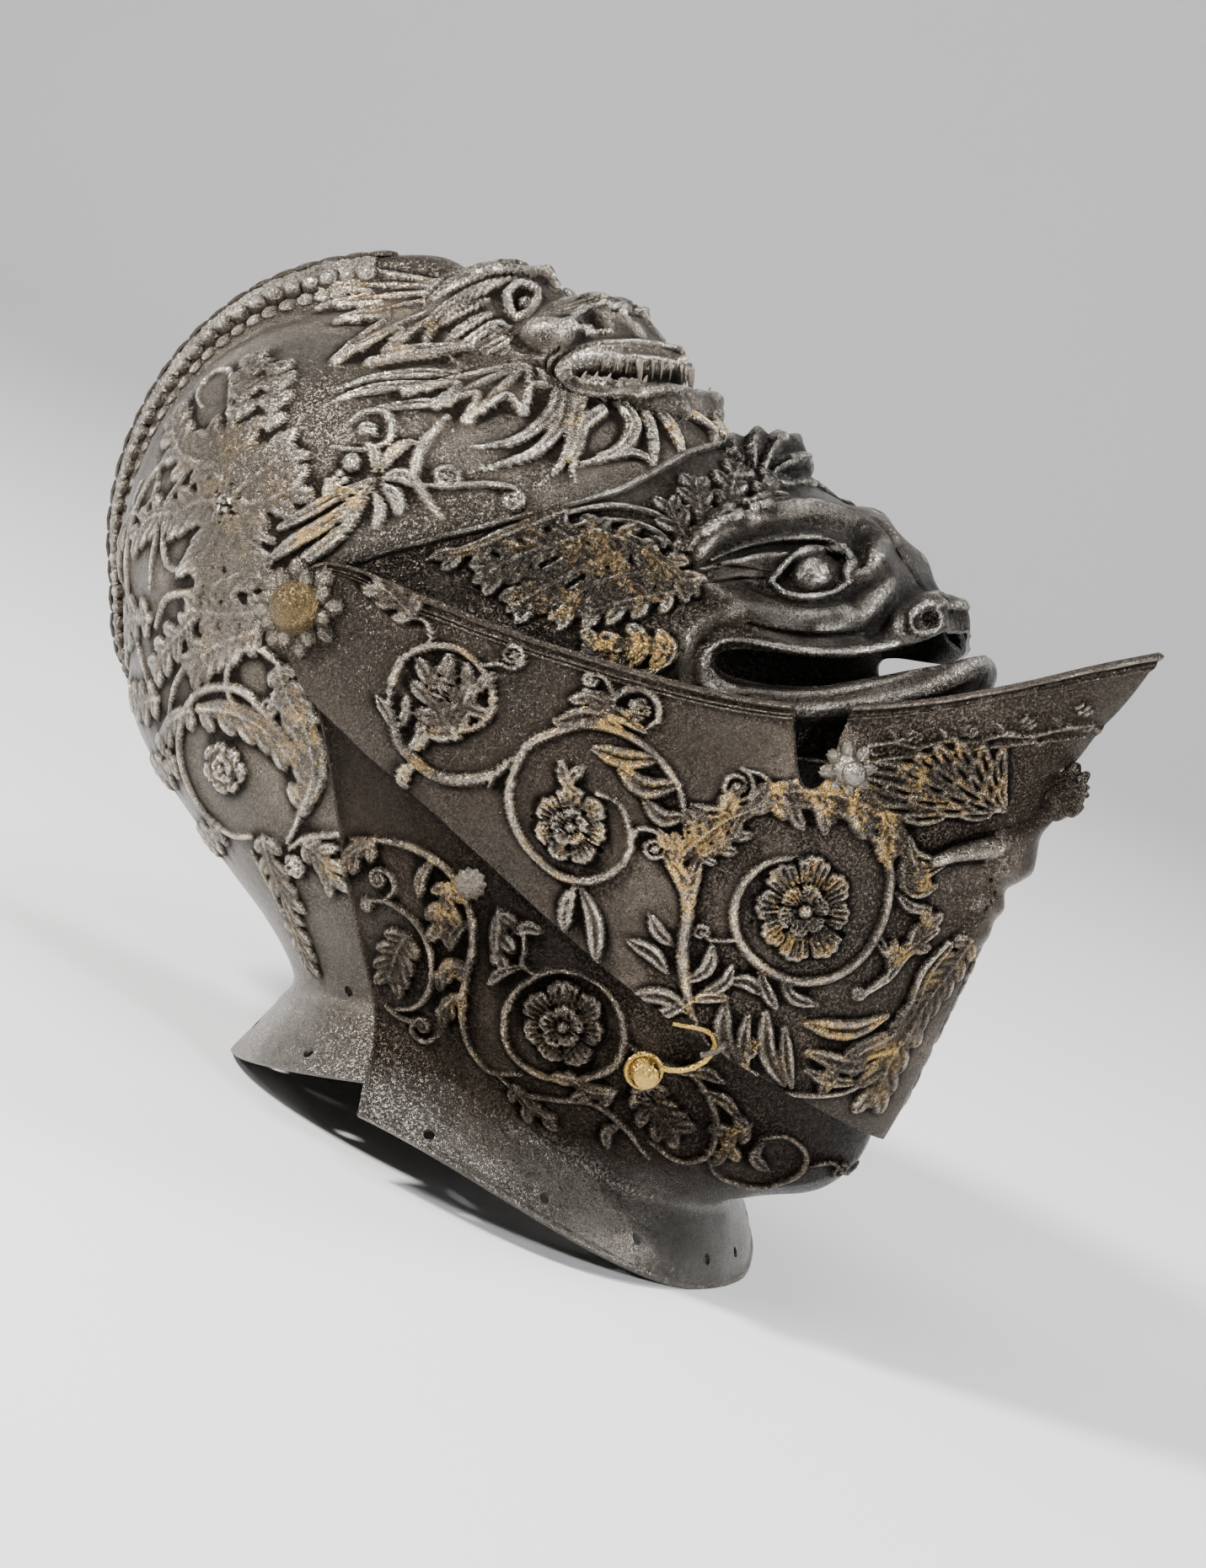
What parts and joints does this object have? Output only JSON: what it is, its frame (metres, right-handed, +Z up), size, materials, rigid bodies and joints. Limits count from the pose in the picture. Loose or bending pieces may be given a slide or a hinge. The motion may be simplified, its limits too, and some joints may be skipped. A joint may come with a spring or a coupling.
{
  "type": "close helmet",
  "caption": "Close helmet with a dragon comb, a grotesque mask visor whose mouth is the sight, a pointed ventail, a bevor with neck flange, pivot rosettes and a hook.",
  "frame": {"origin": "centre of the bounding box's underside, on the surface that the neck rims stand on", "axes": "+X towards the face's front, +Y towards the wearer's left, +Z up through the crown; the pivots' axis lies along Y"},
  "size_m": [0.3751, 0.24, 0.2899],
  "materials": {
    "skull_steel": "dark embossed steel, worn bright on the high spots, traces of gilding",
    "visor_steel": "dark embossed steel",
    "ventail_steel": "russet embossed steel with worn gilding",
    "bevor_steel": "russet embossed steel, plain flange",
    "fitting_steel": "worn steel with traces of gilding",
    "brass": "polished brass"
  },
  "bodies": {
    "skull": {"skull": "skull_steel", "pivot_rosette_right": "fitting_steel", "pivot_rosette_left": "fitting_steel"},
    "visor": {"visor": "visor_steel"},
    "bevor": {"bevor": "bevor_steel", "bevor_rivet_right": "fitting_steel", "bevor_rivet_left": "fitting_steel", "hook_stud": "brass"},
    "ventail": {"ventail": "ventail_steel", "lifting_peg": "fitting_steel", "staple": "fitting_steel"},
    "hook": {"hook": "brass"}
  },
  "joints": [
    {"name": "visor_lift", "type": "hinge", "parent": "skull", "child": "visor", "pos_m": [-0.0514, 0, 0.162], "axis": [0, -1, 0], "range_deg": [0, 14]},
    {"name": "bevor_lift", "type": "hinge", "parent": "skull", "child": "bevor", "pos_m": [-0.0514, 0, 0.162], "axis": [0, -1, 0], "range_deg": [0, 50]},
    {"name": "ventail_lift", "type": "hinge", "parent": "bevor", "child": "ventail", "pos_m": [-0.0514, 0, 0.162], "axis": [0, -1, 0], "range_deg": [0, 70]},
    {"name": "hook_swing", "type": "hinge", "parent": "bevor", "child": "hook", "pos_m": [0.1061, -0.07391, 0.06961], "axis": [-0.5681, 0.8182, 0.0882], "range_deg": [0, 60]}
  ]
}
